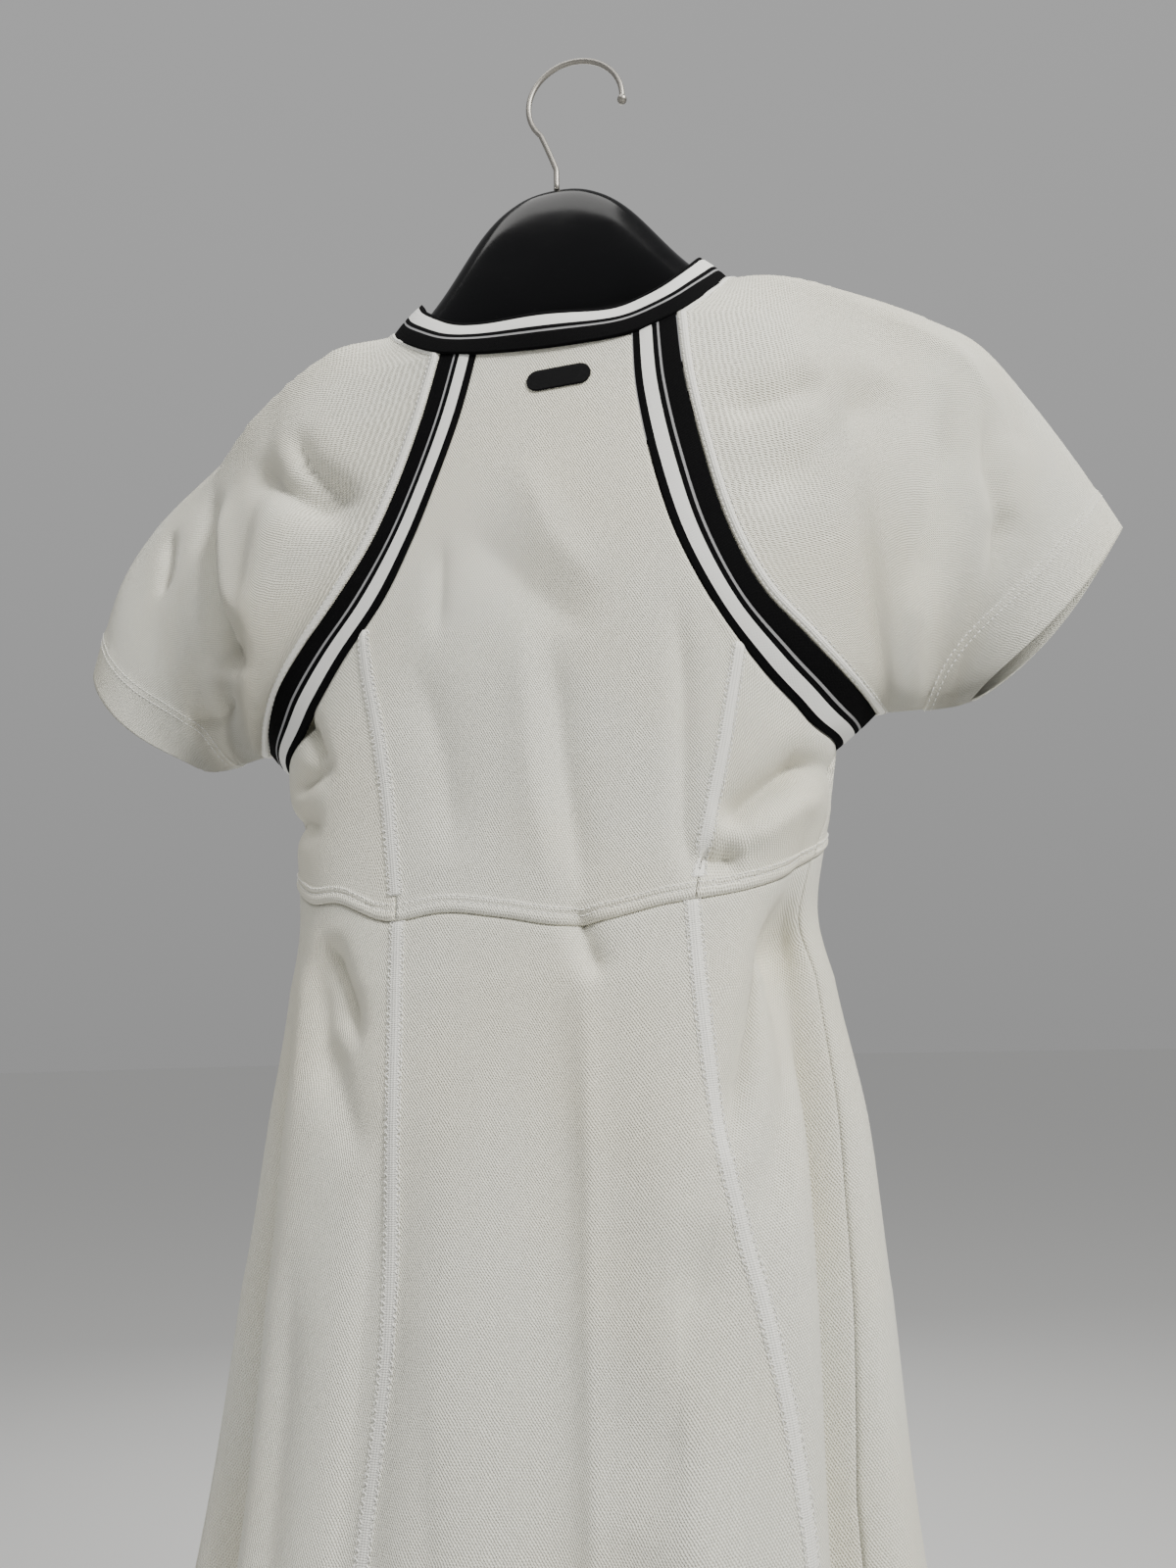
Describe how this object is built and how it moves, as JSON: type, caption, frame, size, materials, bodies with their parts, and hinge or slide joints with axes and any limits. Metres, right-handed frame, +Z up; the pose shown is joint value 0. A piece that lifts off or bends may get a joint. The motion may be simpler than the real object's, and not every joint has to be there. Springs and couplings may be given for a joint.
{
  "type": "tennis dress on a hanger",
  "caption": "Women's short-sleeved tennis dress in white pique knit with black and white striped neckband and raglan tapes, hung on a black hanger.",
  "frame": {"origin": "inside the crown of the hook, where the hanger hangs on a rail", "axes": "+Z up, +Y to the back of the dress, +X to the wearer's left"},
  "size_m": [0.5451, 0.2168, 0.9714],
  "materials": {
    "white_pique": "matt",
    "striped_rib": "matt",
    "transfer_label": "satin",
    "black_plastic": "gloss",
    "hook_steel": "satin"
  },
  "bodies": {
    "root": {"bodice_back_centre": "white_pique", "bodice_back_side_left": "white_pique", "bodice_back_side_right": "white_pique", "bodice_front_centre": "white_pique", "bodice_front_side_left": "white_pique", "bodice_front_side_right": "white_pique", "skirt_back_centre": "white_pique", "skirt_back_side_left": "white_pique", "skirt_back_side_right": "white_pique", "skirt_front_centre": "white_pique", "skirt_front_side_left": "white_pique", "skirt_front_side_right": "white_pique", "sleeve_left": "white_pique", "sleeve_right": "white_pique", "neckband": "striped_rib", "raglan_tape_back_left": "striped_rib", "raglan_tape_back_right": "striped_rib", "raglan_tape_front_left": "striped_rib", "raglan_tape_front_right": "striped_rib", "neck_label": "transfer_label", "hanger_body": "black_plastic", "hook_wire": "hook_steel", "hook_ball": "hook_steel"}
  },
  "joints": []
}
